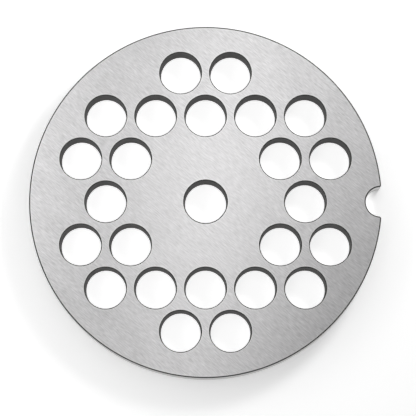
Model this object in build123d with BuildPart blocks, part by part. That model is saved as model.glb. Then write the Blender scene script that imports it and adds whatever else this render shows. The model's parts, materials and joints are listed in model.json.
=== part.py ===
from build123d import *

import os
from math import ceil, sqrt

# A perforated plate for a size 32 meat grinder, lying on its back face.
# The bore's axis is Z, the back face is at Z = 0 and the key notch is towards +X.
# All sizes are in millimetres.

# The ground and turned blank
plate_diameter = 100.0
plate_thickness = 10.0
rim_break = 0.35  # chamfer where the rim and the notch meet each face

# The bore, in which the worm's stud turns
bore_diameter = 12.1
hub_land_diameter = 36.0  # left solid round the bore, where the knife's hub runs

# The meat holes
hole_diameter = 11.7
hole_web = 2.45  # metal left between neighbouring holes
rim_land = 6.0  # least metal left outside the holes, where the ring nut bears
lip_break = 0.15  # the burr taken off each drilled edge

# The notch that slides over the key in the grinder's throat
notch_radius = 4.2
notch_depth = 4.6
notch_mouth_radius = 0.6

# The holes stand on an equilateral grid, with its rows along X
plate_radius = plate_diameter / 2
hole_pitch = hole_diameter + hole_web
row_spacing = hole_pitch * sqrt(3) / 2


def meat_hole_places():
    """The grid's places where a hole leaves both lands whole.

    Each row stands half a pitch over from the next, so the grid is two rectangular grids, one
    in the middle of the other's gaps.
    """
    nearest = (hub_land_diameter + hole_diameter) / 2
    farthest = plate_radius - rim_land - hole_diameter / 2
    count = 2 * ceil(plate_radius / hole_pitch) + 1
    with Locations((0, 0), (hole_pitch / 2, row_spacing)):
        with GridLocations(hole_pitch, 2 * row_spacing, count, count) as grid:
            return [place for place in grid if nearest <= place.position.length <= farthest]


with BuildPart() as grinder_plate:
    # The blank, with the key notch cut in its rim
    with BuildSketch() as outline:
        Circle(plate_radius)
        with Locations((plate_radius - notch_depth + notch_radius, 0)):
            Circle(notch_radius, mode=Mode.SUBTRACT)
        mouth_corners = outline.vertices().group_by(Axis.X)[-1]
        fillet(mouth_corners, radius=notch_mouth_radius)
    extrude(amount=plate_thickness)
    chamfer(grinder_plate.faces().filter_by(Axis.Z).edges(), length=rim_break)

    # The bore, and the field of meat holes round the knife's land
    Hole(radius=bore_diameter / 2)
    chamfer(grinder_plate.edges(Select.LAST).filter_by(GeomType.CIRCLE), length=lip_break)
    with Locations(*meat_hole_places()):
        Hole(radius=hole_diameter / 2)
    chamfer(grinder_plate.edges(Select.LAST).filter_by(GeomType.CIRCLE), length=lip_break)

grinder_plate.part.label = "grinder_plate"

os.makedirs("parts", exist_ok=True)
export_step(grinder_plate.part, "parts/grinder_plate.step")
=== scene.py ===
"""A grinder plate of ground steel, lying on a white table under soft lights.

The plate is turned, drilled and ground as its real one is: a blank is drawn and thickened, its
rim is broken, the holes are cut through it with one flared drill, and its faces are ground.
All sizes are in metres.
"""

import json
import logging
from dataclasses import dataclass
from enum import Enum
from math import atan2, cos, hypot, pi, radians, sin, sqrt
from typing import Any, Callable

import bpy
from mathutils import Euler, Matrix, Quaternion, Vector


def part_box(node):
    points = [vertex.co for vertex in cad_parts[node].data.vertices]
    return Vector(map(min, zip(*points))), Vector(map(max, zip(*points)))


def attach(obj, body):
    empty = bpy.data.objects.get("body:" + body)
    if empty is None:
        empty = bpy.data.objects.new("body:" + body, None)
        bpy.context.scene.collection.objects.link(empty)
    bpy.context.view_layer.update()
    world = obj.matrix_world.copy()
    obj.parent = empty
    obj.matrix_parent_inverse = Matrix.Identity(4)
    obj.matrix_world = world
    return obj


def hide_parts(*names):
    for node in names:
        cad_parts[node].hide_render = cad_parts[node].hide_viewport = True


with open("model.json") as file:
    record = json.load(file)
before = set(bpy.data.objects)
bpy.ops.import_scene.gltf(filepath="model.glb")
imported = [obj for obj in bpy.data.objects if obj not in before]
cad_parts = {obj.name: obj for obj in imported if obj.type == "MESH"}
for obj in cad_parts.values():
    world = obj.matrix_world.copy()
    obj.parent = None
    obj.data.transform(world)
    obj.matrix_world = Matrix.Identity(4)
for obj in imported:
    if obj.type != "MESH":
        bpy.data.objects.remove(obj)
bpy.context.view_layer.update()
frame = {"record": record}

log = logging.getLogger("grinder_plate")

MM = 0.001
NODE = "grinder_plate"
PIECE = "grinder_plate_steel"

MEAT_HOLE_RADIUS = 5.85 * MM
BORE_LIP = 0.3 * MM

SAME_HEIGHT = 0.01 * MM  # how far apart two corners of one level edge may be
SAME_POINT = 0.001 * MM  # how far apart two corners may be and still be merged
LEVEL = 0.999  # least upright part of the normal of a level surface
STEEP = 0.1  # greatest upright part of the normal of a wall
SMOOTH_ANGLE = radians(20)  # edges flatter than this are shaded smooth


# ---------------------------------------------------------------------------------------------
# Shader bench: arithmetic on sockets, and one way to add a node


@dataclass(frozen=True)
class Signal:
    """A number that varies over a surface, with the usual arithmetic on it."""

    bench: "ShaderBench"
    socket: bpy.types.NodeSocket

    def _math(self, operation: str, *terms: "Signal | float") -> "Signal":
        """Adds one Math node.

        Args:
            operation: The node's operation.
            terms: Its inputs, in order.

        Returns:
            The node's result.
        """
        node = self.bench.add(
            "ShaderNodeMath", {"operation": operation}, dict(enumerate(terms))
        )
        return Signal(self.bench, node.outputs[0])

    def __add__(self, other: "Signal | float") -> "Signal":
        """This plus other."""
        return self._math("ADD", self, other)

    def __radd__(self, other: float) -> "Signal":
        """Other plus this."""
        return self._math("ADD", other, self)

    def __sub__(self, other: "Signal | float") -> "Signal":
        """This less other."""
        return self._math("SUBTRACT", self, other)

    def __rsub__(self, other: float) -> "Signal":
        """Other less this."""
        return self._math("SUBTRACT", other, self)

    def __mul__(self, other: "Signal | float") -> "Signal":
        """This times other."""
        return self._math("MULTIPLY", self, other)

    def __rmul__(self, other: float) -> "Signal":
        """Other times this."""
        return self._math("MULTIPLY", other, self)

    def __pow__(self, other: "Signal | float") -> "Signal":
        """This to the power of other."""
        return self._math("POWER", self, other)

    def ramp(self, start: float, end: float) -> "Signal":
        """This as a smooth step from 0 at start to 1 at end.

        Args:
            start: Where the step begins.
            end: Where it is complete. It may be less than start.

        Returns:
            The step, between 0 and 1.
        """
        node = self.bench.add(
            "ShaderNodeMapRange",
            {"interpolation_type": "SMOOTHSTEP"},
            {"Value": self, "From Min": start, "From Max": end},
        )
        return Signal(self.bench, node.outputs["Result"])


class ShaderBench:
    """A node tree under construction."""

    def __init__(self, tree: bpy.types.NodeTree) -> None:
        """Clears the tree, ready for new nodes."""
        self.tree = tree
        tree.nodes.clear()

    def add(
        self, kind: str, settings: dict[str, Any] | None = None, values: dict | None = None
    ) -> bpy.types.Node:
        """Adds a node.

        Args:
            kind: The node's type.
            settings: Properties of the node, set before its sockets.
            values: What goes into its sockets, by name or number: a Signal, a socket or a value.

        Returns:
            The new node.
        """
        node = self.tree.nodes.new(kind)
        for name, setting in (settings or {}).items():
            setattr(node, name, setting)
        for key, value in (values or {}).items():
            socket = value.socket if isinstance(value, Signal) else value
            if isinstance(socket, bpy.types.NodeSocket):
                self.tree.links.new(socket, node.inputs[key])
            else:
                node.inputs[key].default_value = value
        return node

    def place(
        self, turn: float, stretch: tuple[float, float, float]
    ) -> bpy.types.NodeSocket:
        """The point on the object, turned about Z and stretched.

        Args:
            turn: Angle in radians by which the grain leans from the X axis.
            stretch: Length of one step of the pattern along the grain, across it and in depth.

        Returns:
            A vector socket in steps of the pattern.
        """
        point = self.add("ShaderNodeTexCoord").outputs["Object"]
        node = self.add(
            "ShaderNodeMapping",
            {"vector_type": "TEXTURE"},
            {"Vector": point, "Rotation": (0, 0, turn), "Scale": stretch},
        )
        return node.outputs["Vector"]

    def noise(self, place: bpy.types.NodeSocket, detail: float) -> Signal:
        """Soft noise about zero, mostly within a quarter either way.

        Args:
            place: Where it is read.
            detail: How many finer layers it has.

        Returns:
            The noise.
        """
        node = self.add(
            "ShaderNodeTexNoise",
            {"noise_dimensions": "3D"},
            {"Vector": place, "Scale": 1.0, "Detail": detail, "Roughness": 0.55},
        )
        return Signal(self, node.outputs["Fac"]) - 0.5

    def axis(self, name: str) -> Signal:
        """One coordinate of the point on the object, X, Y or Z, in metres."""
        point = self.add("ShaderNodeTexCoord").outputs["Object"]
        node = self.add("ShaderNodeSeparateXYZ", None, {"Vector": point})
        return Signal(self, node.outputs[name])

    def grey(self, level: Signal, tint: tuple[float, float, float]) -> bpy.types.NodeSocket:
        """A colour of one tint, with its strength varied.

        Args:
            level: The strength, 1 where the tint shows as it is.
            tint: The colour at strength 1.

        Returns:
            A colour socket.
        """
        node = self.add(
            "ShaderNodeVectorMath", {"operation": "SCALE"}, {0: tint, "Scale": level}
        )
        return node.outputs["Vector"]

    def metal(
        self,
        colour: bpy.types.NodeSocket,
        roughness: Signal,
        height: Signal | None = None,
        bare: float = 1.0,
        gloss: float = 0.5,
    ) -> None:
        """Ends a material in a metal.

        Args:
            colour: What it reflects.
            roughness: How matt it is.
            height: Its relief, in metres.
            bare: 1 for bare metal, 0 for metal under scale.
            gloss: How strongly the scale shines, 0.5 for most solids.
        """
        values: dict = {
            "Base Color": colour,
            "Roughness": roughness,
            "Metallic": bare,
            "Specular IOR Level": gloss,
        }
        if height is not None:
            bump = self.add(
                "ShaderNodeBump", None, {"Height": height, "Strength": 1.0, "Distance": 1.0}
            )
            values["Normal"] = bump.outputs["Normal"]
        shader = self.add("ShaderNodeBsdfPrincipled", None, values)
        self.add("ShaderNodeOutputMaterial", None, {"Surface": shader.outputs["BSDF"]})


# ---------------------------------------------------------------------------------------------
# Finishes


@dataclass(frozen=True)
class Grain:
    """One kind of mark on a surface, by the size of its marks in metres."""

    length: float
    width: float
    depth: float
    detail: float

    def on(self, bench: ShaderBench, turn: float = 0.0) -> Signal:
        """Lays the marks over a surface.

        Args:
            bench: The material under construction.
            turn: Angle in radians by which the marks lean from the X axis.

        Returns:
            The marks, as soft noise about zero.
        """
        return bench.noise(bench.place(turn, (self.length, self.width, self.depth)), self.detail)


def open_material(name: str) -> tuple[bpy.types.Material, ShaderBench]:
    """Starts a material.

    Args:
        name: What it is called.

    Returns:
        The material, and a bench on its empty node tree.
    """
    material = bpy.data.materials.new(name)
    material.use_nodes = True
    return material, ShaderBench(material.node_tree)


@dataclass(frozen=True)
class GroundSteel:
    """Both faces, surface-ground in short slanting strokes."""

    name: str = "ground_face"
    tint: tuple[float, float, float] = (0.604, 0.598, 0.602)
    roughness: float = 0.40
    stroke_angle: float = radians(-40)
    stroke_depth: float = 0.00000025
    fine: Grain = Grain(1.9 * MM, 0.27 * MM, MM, 1.0)
    fine_share: float = 0.8
    middle: Grain = Grain(3.0 * MM, 0.8 * MM, MM, 2.0)
    middle_share: float = 0.2
    long: Grain = Grain(12 * MM, 0.4 * MM, MM, 1.0)
    long_share: float = 0.25
    cloud: Grain = Grain(9 * MM, 5 * MM, 5 * MM, 2.0)
    stroke_contrast: float = 0.75
    cloud_contrast: float = 0.16
    stroke_matt: float = 0.08
    cloud_matt: float = 0.04

    def make(self) -> bpy.types.Material:
        """Builds the material.

        Returns:
            The finish of a face as it leaves the grinder.
        """
        material, bench = open_material(self.name)
        fine = self.fine.on(bench, self.stroke_angle)
        middle = self.middle.on(bench, self.stroke_angle)
        long = self.long.on(bench, self.stroke_angle)
        cloud = self.cloud.on(bench, self.stroke_angle)
        strokes = fine * self.fine_share + middle * self.middle_share + long * self.long_share
        level = 1 + strokes * self.stroke_contrast + cloud * self.cloud_contrast
        bench.metal(
            bench.grey(level, self.tint),
            self.roughness + strokes * self.stroke_matt + cloud * self.cloud_matt,
            strokes * self.stroke_depth,
        )
        return material


@dataclass(frozen=True)
class BurnishedEdgeWithPaintedHighlight:
    """The narrow, lighter line along an edge: partly polish from wear, partly a painted
    highlight standing in for the glint of a rounded edge.
    """

    name: str = "burnished_edge"
    # Lighter than the face's tint: a painted highlight along the edge, with some polish from
    # wear.
    tint: tuple[float, float, float] = (0.66, 0.66, 0.655)
    roughness: float = 0.38
    wear: Grain = Grain(1.5 * MM, 1.5 * MM, MM, 3.0)
    wear_contrast: float = 0.1
    wear_matt: float = 0.1

    def make(self) -> bpy.types.Material:
        """Builds the material.

        Returns:
            The finish of an edge line, worn polish with a painted highlight.
        """
        material, bench = open_material(self.name)
        wear = self.wear.on(bench)
        bench.metal(
            bench.grey(1 + wear * self.wear_contrast, self.tint),
            self.roughness + wear * self.wear_matt,
        )
        return material


@dataclass(frozen=True)
class ReamedWall:
    """The walls of the holes, coloured near-black: partly the dark scale of the hardening
    furnace, partly painted shade inside the holes.
    """

    name: str = "reamed_wall"
    # Near-black: furnace scale together with painted shade on the hole walls.
    tint: tuple[float, float, float] = (0.040, 0.039, 0.037)
    roughness: float = 0.6
    gloss: float = 0.12
    rings: Grain = Grain(30 * MM, 30 * MM, 0.9 * MM, 3.0)
    ring_contrast: float = 0.5
    ring_matt: float = 0.1
    ring_depth: float = 0.000002
    bands: Grain = Grain(25 * MM, 25 * MM, 2.6 * MM, 1.0)
    band_contrast: float = 1.4
    scale: Grain = Grain(1.2 * MM, 1.2 * MM, 1.2 * MM, 3.0)
    scale_contrast: float = 0.5
    scale_matt: float = 0.2

    def make(self) -> bpy.types.Material:
        """Builds the material.

        Returns:
            The finish of a drilled and reamed wall.
        """
        material, bench = open_material(self.name)
        rings = self.rings.on(bench)
        bands = self.bands.on(bench)
        scale = self.scale.on(bench)
        marks = rings * self.ring_contrast + bands * self.band_contrast
        bench.metal(
            bench.grey(1 + marks + scale * self.scale_contrast, self.tint),
            self.roughness + scale * self.scale_matt + rings * self.ring_matt,
            rings * self.ring_depth,
            bare=0.0,
            gloss=self.gloss,
        )
        return material


@dataclass(frozen=True)
class TurnedRim:
    """The outside of the rim, turned to fit the grinder's throat."""

    name: str = "turned_rim"
    tint: tuple[float, float, float] = (0.5, 0.5, 0.495)
    roughness: float = 0.38
    grooves: Grain = Grain(40 * MM, 40 * MM, 0.18 * MM, 2.0)
    groove_contrast: float = 0.35
    groove_matt: float = 0.1
    groove_depth: float = 0.000003
    stain: Grain = Grain(9 * MM, 9 * MM, 3 * MM, 3.0)
    stain_contrast: float = 0.25
    stain_matt: float = 0.12

    def make(self) -> bpy.types.Material:
        """Builds the material.

        Returns:
            The finish of a turned rim.
        """
        material, bench = open_material(self.name)
        grooves = self.grooves.on(bench)
        stain = self.stain.on(bench)
        level = 1 + grooves * self.groove_contrast + stain * self.stain_contrast
        bench.metal(
            bench.grey(level, self.tint),
            self.roughness + grooves * self.groove_matt + stain * self.stain_matt,
            grooves * self.groove_depth,
        )
        return material


@dataclass(frozen=True)
class BrokenEdge:
    """The chamfers, coloured near-black: partly furnace scale that the grinder never reaches,
    partly a painted dark reflection.
    """

    name: str = "broken_edge"
    # Near-black: furnace scale together with a painted dark reflection along the chamfer.
    tint: tuple[float, float, float] = (0.035, 0.034, 0.033)
    roughness: float = 0.5
    gloss: float = 0.3
    scale: Grain = Grain(1.6 * MM, 1.6 * MM, 1.6 * MM, 3.0)
    scale_contrast: float = 0.6
    scale_matt: float = 0.2

    def make(self) -> bpy.types.Material:
        """Builds the material.

        Returns:
            The finish of a chamfer.
        """
        material, bench = open_material(self.name)
        scale = self.scale.on(bench)
        bench.metal(
            bench.grey(1 + scale * self.scale_contrast, self.tint),
            self.roughness + scale * self.scale_matt,
            bare=0.0,
            gloss=self.gloss,
        )
        return material


class Finish(Enum):
    """The plate's finishes, in the order of its material slots."""

    FACE = GroundSteel()
    EDGE = BurnishedEdgeWithPaintedHighlight()
    WALL = ReamedWall()
    RIM = TurnedRim()
    CHAMFER = BrokenEdge()


# ---------------------------------------------------------------------------------------------
# Mesh bench: what the operators need picked out first


class MeshBench:
    """Picks out objects, faces and edges for the modelling operators."""

    @staticmethod
    def clear() -> None:
        """Leaves edit mode and deselects every object."""
        if bpy.context.object and bpy.context.object.mode != "OBJECT":
            bpy.ops.object.mode_set(mode="OBJECT")
        bpy.ops.object.select_all(action="DESELECT")

    @classmethod
    def take(cls, *objects: bpy.types.Object) -> None:
        """Selects these objects alone and makes the first one active."""
        cls.clear()
        for piece in objects:
            piece.select_set(True)
        bpy.context.view_layer.objects.active = objects[0]

    @classmethod
    def pick(
        cls, piece: bpy.types.Object, mode: str, test: Callable[[Any], bool]
    ) -> None:
        """Goes into edit mode with some faces or edges selected.

        Args:
            piece: The object to edit.
            mode: FACE or EDGE.
            test: Says whether a polygon or an edge is wanted.
        """
        cls.take(piece)
        bpy.ops.object.mode_set(mode="EDIT")
        bpy.ops.mesh.select_mode(type=mode)
        bpy.ops.mesh.select_all(action="DESELECT")
        bpy.ops.object.mode_set(mode="OBJECT")
        mesh = piece.data
        for part in mesh.polygons if mode == "FACE" else mesh.edges:
            part.select = test(part)
        bpy.ops.object.mode_set(mode="EDIT")

    @staticmethod
    def ends(mesh: bpy.types.Mesh, edge: bpy.types.MeshEdge) -> tuple[Vector, Vector]:
        """The two end points of an edge."""
        return mesh.vertices[edge.vertices[0]].co, mesh.vertices[edge.vertices[1]].co


# ---------------------------------------------------------------------------------------------
# The plate


@dataclass
class Blank:
    """The turned disc with its key notch, its edges broken."""

    radius: float
    bottom: float
    top: float
    notch_radius: float = 4.2 * MM
    notch_depth: float = 4.6 * MM
    mouth_radius: float = 0.6 * MM
    edge_break: float = 0.35 * MM
    rim_steps: int = 352
    notch_steps: int = 44
    mouth_steps: int = 8

    @property
    def notch_centre(self) -> float:
        """How far the notch's centre is from the axis."""
        return self.radius - self.notch_depth + self.notch_radius

    @property
    def mouth_centre(self) -> Vector:
        """Centre of the rounding at the upper corner of the notch's mouth."""
        inner = self.radius - self.mouth_radius
        outer = self.notch_radius + self.mouth_radius
        far = self.notch_centre
        x = (inner**2 - outer**2 + far**2) / (2 * far)
        return Vector((x, sqrt(inner**2 - x**2), self.bottom))

    def _arc(self, centre: Vector, sweep: float, steps: int) -> None:
        """Draws an arc on from the selected vertex.

        Args:
            centre: The arc's centre.
            sweep: The angle it turns through, in radians, anticlockwise.
            steps: How many edges it has.
        """
        bpy.ops.mesh.spin(
            steps=steps, angle=-sweep, center=centre, axis=(0, 0, 1), dupli=False
        )

    def make(self) -> bpy.types.Object:
        """Builds the blank.

        Returns:
            A closed disc with its notch, standing on its back face.
        """
        mouth = self.mouth_centre
        other_mouth = Vector((mouth.x, -mouth.y, mouth.z))
        lean = atan2(mouth.y, mouth.x)
        slope = atan2(mouth.y, self.notch_centre - mouth.x)
        start = Vector((cos(lean), sin(lean), 0)) * self.radius
        start.z = self.bottom

        MeshBench.clear()
        bpy.ops.mesh.primitive_plane_add(size=MM, location=start)
        blank = bpy.context.object
        blank.name = blank.data.name = PIECE
        bpy.ops.object.transform_apply(location=True, rotation=True, scale=True)
        bpy.ops.object.mode_set(mode="EDIT")
        bpy.ops.mesh.select_mode(type="VERT")
        bpy.ops.mesh.select_all(action="SELECT")
        bpy.ops.mesh.merge(type="CENTER")
        notch = Vector((self.notch_centre, 0, self.bottom))
        self._arc(Vector((0, 0, self.bottom)), 2 * (pi - lean), self.rim_steps)
        self._arc(other_mouth, lean + slope, self.mouth_steps)
        self._arc(notch, -2 * slope, self.notch_steps)
        self._arc(mouth, lean + slope, self.mouth_steps)
        bpy.ops.mesh.select_all(action="SELECT")
        bpy.ops.mesh.remove_doubles(threshold=SAME_POINT)
        bpy.ops.mesh.edge_face_add()
        bpy.ops.mesh.extrude_region_move(
            TRANSFORM_OT_translate={"value": (0, 0, self.top - self.bottom)}
        )
        bpy.ops.mesh.select_all(action="SELECT")
        bpy.ops.mesh.normals_make_consistent(inside=False)
        bpy.ops.object.mode_set(mode="OBJECT")

        def along_face(edge: bpy.types.MeshEdge) -> bool:
            """Whether an edge bounds one of the two faces."""
            a, b = MeshBench.ends(blank.data, edge)
            return abs(a.z - b.z) < SAME_HEIGHT

        MeshBench.pick(blank, "EDGE", along_face)
        bpy.ops.mesh.bevel(
            offset=self.edge_break, segments=1, affect="EDGES", clamp_overlap=False
        )
        MeshBench.clear()
        return blank


@dataclass
class Drill:
    """A cutter that opens one hole, narrower towards the back, and breaks its two edges."""

    radius: float
    bottom: float
    top: float
    lip: float = 0.25 * MM
    taper: float = 0.2 * MM
    overrun: float = 0.4 * MM
    sides: int = 96

    def _end(self, tool: bpy.types.Object, up: bool) -> None:
        """Flares one end of the cutter and runs it past the face.

        Args:
            tool: The cutter.
            up: Whether this is its upper end.
        """
        way = 1 if up else -1
        rise = self.lip + self.overrun
        spread = 1 + rise / (self.radius if up else self.radius - self.taper)
        MeshBench.pick(tool, "FACE", lambda face: face.normal.z * way > LEVEL)
        bpy.ops.mesh.extrude_region_move(TRANSFORM_OT_translate={"value": (0, 0, way * rise)})
        bpy.ops.transform.resize(
            value=(spread, spread, 1), center_override=(tool["x"], tool["y"], 0)
        )
        bpy.ops.object.mode_set(mode="OBJECT")

    def make(self, x: float, y: float) -> bpy.types.Object:
        """Builds the cutter.

        Args:
            x: Where its axis stands.
            y: Where its axis stands.

        Returns:
            A closed cutter, flared at both ends.
        """
        MeshBench.clear()
        bpy.ops.mesh.primitive_cylinder_add(
            vertices=self.sides,
            radius=self.radius,
            depth=self.top - self.bottom - 2 * self.lip,
            location=(x, y, (self.top + self.bottom) / 2),
        )
        tool = bpy.context.object
        bpy.ops.object.transform_apply(location=True, rotation=True, scale=True)
        tool["x"], tool["y"] = x, y
        MeshBench.pick(tool, "FACE", lambda face: face.normal.z < -LEVEL)
        narrow = 1 - self.taper / self.radius
        bpy.ops.transform.resize(value=(narrow, narrow, 1), center_override=(x, y, 0))
        bpy.ops.object.mode_set(mode="OBJECT")
        self._end(tool, True)
        self._end(tool, False)
        return tool

    def repeat(self, tool: bpy.types.Object, x: float, y: float) -> bpy.types.Object:
        """Copies the cutter to another place.

        Args:
            tool: The cutter to copy.
            x: Where the copy's axis stands.
            y: Where the copy's axis stands.

        Returns:
            The copy, with a mesh of its own.
        """
        MeshBench.take(tool)
        bpy.ops.object.duplicate(linked=False)
        copy = bpy.context.object
        copy.location = (x - tool["x"], y - tool["y"], 0)
        bpy.ops.object.transform_apply(location=True, rotation=True, scale=True)
        copy["x"], copy["y"] = x, y
        return copy


@dataclass
class GrinderPlate:
    """The whole plate, as the frame sizes it."""

    blank: Blank
    bore: Drill
    meat_hole: Drill
    places: list[tuple[float, float]]
    # Width of the lighter line along each edge: a painted highlight, with some polish from wear.
    burnish_and_highlight_width: float = 0.22 * MM

    @classmethod
    def from_frame(cls) -> "GrinderPlate":
        """Takes the plate's sizes and the places of its holes from the frame.

        Returns:
            A plate ready to be built.
        """
        low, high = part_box(NODE)
        record = frame["record"]
        mounts = {mount["name"]: mount for mount in record["mounts"]}
        bore_radius = mounts["stud_bore"]["dims"]["r_mm"] * MM
        places = []
        for opening in record["physics"]["openings"]:
            if opening["name"].startswith("meat_hole"):
                a, b = opening["box_m"]
                places.append(((a[0] + b[0]) / 2, (a[1] + b[1]) / 2))
        return cls(
            blank=Blank(radius=(high.y - low.y) / 2, bottom=low.z, top=high.z),
            bore=Drill(bore_radius, low.z, high.z, lip=BORE_LIP),
            meat_hole=Drill(MEAT_HOLE_RADIUS, low.z, high.z),
            places=places,
        )

    def _cut(self, plate: bpy.types.Object, tools: list[bpy.types.Object]) -> None:
        """Takes the cutters out of the plate.

        Args:
            plate: The blank to cut.
            tools: Every cutter in its place.
        """
        MeshBench.take(*tools)
        bpy.ops.object.join()
        cutter = bpy.context.object
        MeshBench.take(plate)
        cut = plate.modifiers.new("holes", "BOOLEAN")
        cut.operation = "DIFFERENCE"
        cut.solver = "EXACT"
        cut.object = cutter
        bpy.ops.object.modifier_apply(modifier=cut.name)
        bpy.data.objects.remove(cutter)

    def _mark_burnish_and_highlight(self, plate: bpy.types.Object) -> None:
        """Marks off the lighter line along the edges of both faces: polish from wear, and a
        painted highlight.

        Args:
            plate: The plate, with its holes.
        """
        order = list(Finish)
        for way in (1, -1):
            MeshBench.pick(plate, "FACE", lambda face: face.normal.z * way > LEVEL)
            bpy.ops.mesh.inset(
                thickness=self.burnish_and_highlight_width, depth=0, use_boundary=True, use_even_offset=True
            )
            bpy.ops.object.mode_set(mode="OBJECT")
            for face in plate.data.polygons:
                if face.normal.z * way > LEVEL:
                    # The ring along each edge takes the lighter edge finish, a painted highlight
                    # with some polish from wear.
                    finish = Finish.FACE if face.select else Finish.EDGE
                    face.material_index = order.index(finish)

    def _dress(self, plate: bpy.types.Object) -> None:
        """Gives each surface its finish.

        Args:
            plate: The plate, with its lighter edge lines marked off.
        """
        order = list(Finish)
        for finish in order:
            plate.data.materials.append(finish.value.make())
        # A wall farther out than this, and in no hole, is the rim's or the notch's.
        rim = self.blank.radius - 2 * self.blank.notch_radius
        for face in plate.data.polygons:
            if abs(face.normal.z) > LEVEL:
                continue
            # Chamfers take the near-black finish, a painted dark reflection with furnace scale.
            if abs(face.normal.z) > STEEP:
                face.material_index = order.index(Finish.CHAMFER)
                continue
            outside = hypot(face.center.x, face.center.y) > rim
            holes = (hypot(face.center.x - x, face.center.y - y) for x, y in self.places)
            inside = min(holes) < self.meat_hole.radius + self.meat_hole.lip
            # Hole walls take the near-black finish, painted shade with furnace scale. The rim
            # keeps its bright turned metal.
            face.material_index = order.index(
                Finish.RIM if outside and not inside else Finish.WALL
            )

    def build(self) -> bpy.types.Object:
        """Builds and dresses the plate in place of its solid.

        Returns:
            The finished piece.
        """
        plate = self.blank.make()
        log.info("blank: %d faces", len(plate.data.polygons))
        first = self.meat_hole.make(*self.places[0])
        tools = [first]
        tools += [self.meat_hole.repeat(first, *place) for place in self.places[1:]]
        tools.append(self.bore.make(0.0, 0.0))
        self._cut(plate, tools)
        log.info("holes: %d cut", len(tools))
        self._mark_burnish_and_highlight(plate)
        self._dress(plate)
        MeshBench.take(plate)
        bpy.ops.object.shade_smooth_by_angle(angle=SMOOTH_ANGLE)
        MeshBench.clear()
        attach(plate, "root")
        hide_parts(NODE)
        log.info("plate: %d faces", len(plate.data.polygons))
        return plate


# ---------------------------------------------------------------------------------------------
# The set


@dataclass
class Tabletop:
    """The white table the plate lies on.

    Its lift is how much brighter than its lit colour camera and mirrors see it, and the middle,
    under the plate, has a lift of its own because little light comes down through the holes.
    """

    span: float = 6.0
    drop: float = 0.02 * MM
    tint: tuple[float, float, float] = (0.75, 0.75, 0.75)
    lift: float = 0.36
    middle_lift: float = 0.84
    middle_radius: float = 46 * MM
    outer_radius: float = 49 * MM

    def build(self) -> bpy.types.Object:
        """Builds the table.

        Returns:
            The floor of the scene.
        """
        MeshBench.clear()
        bpy.ops.mesh.primitive_plane_add(size=self.span, location=(0, 0, -self.drop))
        table = bpy.context.object
        table.name = "tabletop"
        bpy.ops.object.transform_apply(location=True, rotation=True, scale=True)
        table.data.materials.append(self._paper())
        return table

    def _paper(self) -> bpy.types.Material:
        """Builds the white of the table.

        Returns:
            A matt white that camera and mirrors see brighter than it is lit.
        """
        material, bench = open_material("white_paper")
        x, y = bench.axis("X"), bench.axis("Y")
        away = (x * x + y * y) ** 0.5
        middle = away.ramp(self.outer_radius, self.middle_radius)
        ray = bench.add("ShaderNodeLightPath")
        seen = Signal(bench, ray.outputs["Is Camera Ray"])
        mirrored = Signal(bench, ray.outputs["Is Glossy Ray"])
        lift = (self.lift + middle * (self.middle_lift - self.lift)) * (seen + mirrored)
        paper = bench.add("ShaderNodeBsdfDiffuse", None, {"Color": (*self.tint, 1)})
        glow = bench.add("ShaderNodeEmission", None, {"Color": (1, 1, 1, 1), "Strength": lift})
        both = bench.add(
            "ShaderNodeAddShader", None, {0: paper.outputs[0], 1: glow.outputs[0]}
        )
        bench.add("ShaderNodeOutputMaterial", None, {"Surface": both.outputs[0]})
        return material


@dataclass(frozen=True)
class SoftBox:
    """A soft lamp over the table."""

    name: str
    place: tuple[float, float, float]
    width: float
    height: float
    power: float
    aim: tuple[float, float, float] = (0.0, 0.0, 0.0)
    lean: float = 0.0

    def hang(self) -> bpy.types.Object:
        """Hangs the lamp.

        Returns:
            The lamp, facing its aim.
        """
        MeshBench.clear()
        way = Vector(self.aim) - Vector(self.place)
        turn = way.to_track_quat("-Z", "Y") @ Quaternion((0, 0, 1), self.lean)
        bpy.ops.object.light_add(
            type="AREA", location=self.place, rotation=turn.to_euler()
        )
        lamp = bpy.context.object
        lamp.name = self.name
        lamp.data.shape = "RECTANGLE"
        lamp.data.size, lamp.data.size_y = self.width, self.height
        lamp.data.energy = self.power
        lamp.visible_camera = False
        return lamp


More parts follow.
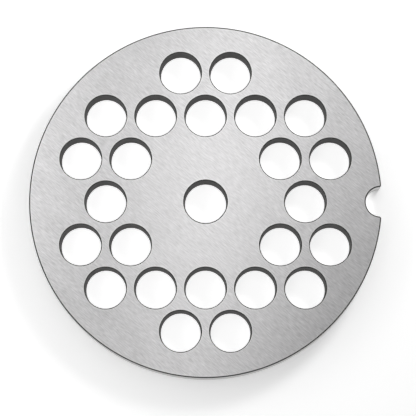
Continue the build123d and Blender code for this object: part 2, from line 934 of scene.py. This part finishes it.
@dataclass
class Studio:
    """The lamps, and the room round the table with its dim ceiling and pale walls.

    The walls' light is full up to one height and gone above another, both given as the upright
    part of a direction.
    """

    ceiling: float = 0.045
    walls: float = 0.7
    walls_full: float = 0.5
    walls_top: float = 0.88
    lamps: tuple[SoftBox, ...] = (
        SoftBox("overhead", (0.0, 0.042, 0.297), 0.084, 0.084, 0.046),
        SoftBox("side", (0.15, 0.15, 0.212), 0.084, 0.084, 0.364),
        SoftBox("strip", (0.0, 0.0, 0.12), 0.03, 0.5, 0.056, lean=radians(-8)),
        SoftBox("left_strip", (-0.08, 0.0, 0.12), 0.03, 0.5, 0.131, (-0.08, 0, 0), radians(-8)),
    )

    def build(self) -> None:
        """Hangs the lamps and gives the room its level."""
        for lamp in self.lamps:
            lamp.hang()
        world = bpy.data.worlds.new("room")
        bpy.context.scene.world = world
        world.use_nodes = True
        bench = ShaderBench(world.node_tree)
        way = bench.add("ShaderNodeTexCoord").outputs["Generated"]
        height = bench.add("ShaderNodeSeparateXYZ", None, {"Vector": way})
        wall = Signal(bench, height.outputs["Z"]).ramp(self.walls_top, self.walls_full)
        level = self.ceiling + wall * (self.walls - self.ceiling)
        air = bench.add(
            "ShaderNodeBackground", None, {"Color": (1, 1, 1, 1), "Strength": level}
        )
        bench.add("ShaderNodeOutputWorld", None, {"Surface": air.outputs[0]})


@dataclass
class ProductCamera:
    """A long lens, nearly overhead."""

    aim: tuple[float, float, float] = (0.70 * MM, -1.8 * MM, 10 * MM)
    distance: float = 1.09
    back: float = radians(5.6)
    lens: float = 333.0
    sensor: float = 36.0
    near: float = 0.01

    def build(self) -> bpy.types.Object:
        """Sets the camera up.

        Returns:
            The scene's camera.
        """
        MeshBench.clear()
        turn = Euler((self.back, 0, 0), "XYZ")
        away = turn.to_matrix() @ Vector((0, 0, self.distance))
        bpy.ops.object.camera_add(location=Vector(self.aim) + away, rotation=turn)
        camera = bpy.context.object
        camera.name = "product_camera"
        camera.data.lens = self.lens
        camera.data.sensor_width = self.sensor
        camera.data.clip_start = self.near
        bpy.context.scene.camera = camera
        return camera


def main() -> None:
    """Builds the plate and its set, in order."""
    logging.basicConfig(level=logging.INFO, format="%(name)s: %(message)s")
    bpy.context.scene.view_settings.view_transform = "Standard"
    camera = ProductCamera().build()
    log.info("camera: %s", camera.name)
    plate = GrinderPlate.from_frame().build()
    log.info("piece: %s", plate.name)
    table = Tabletop().build()
    log.info("floor: %s", table.name)
    Studio().build()
    log.info("lamps: hung")


if __name__ == "__main__":
    main()
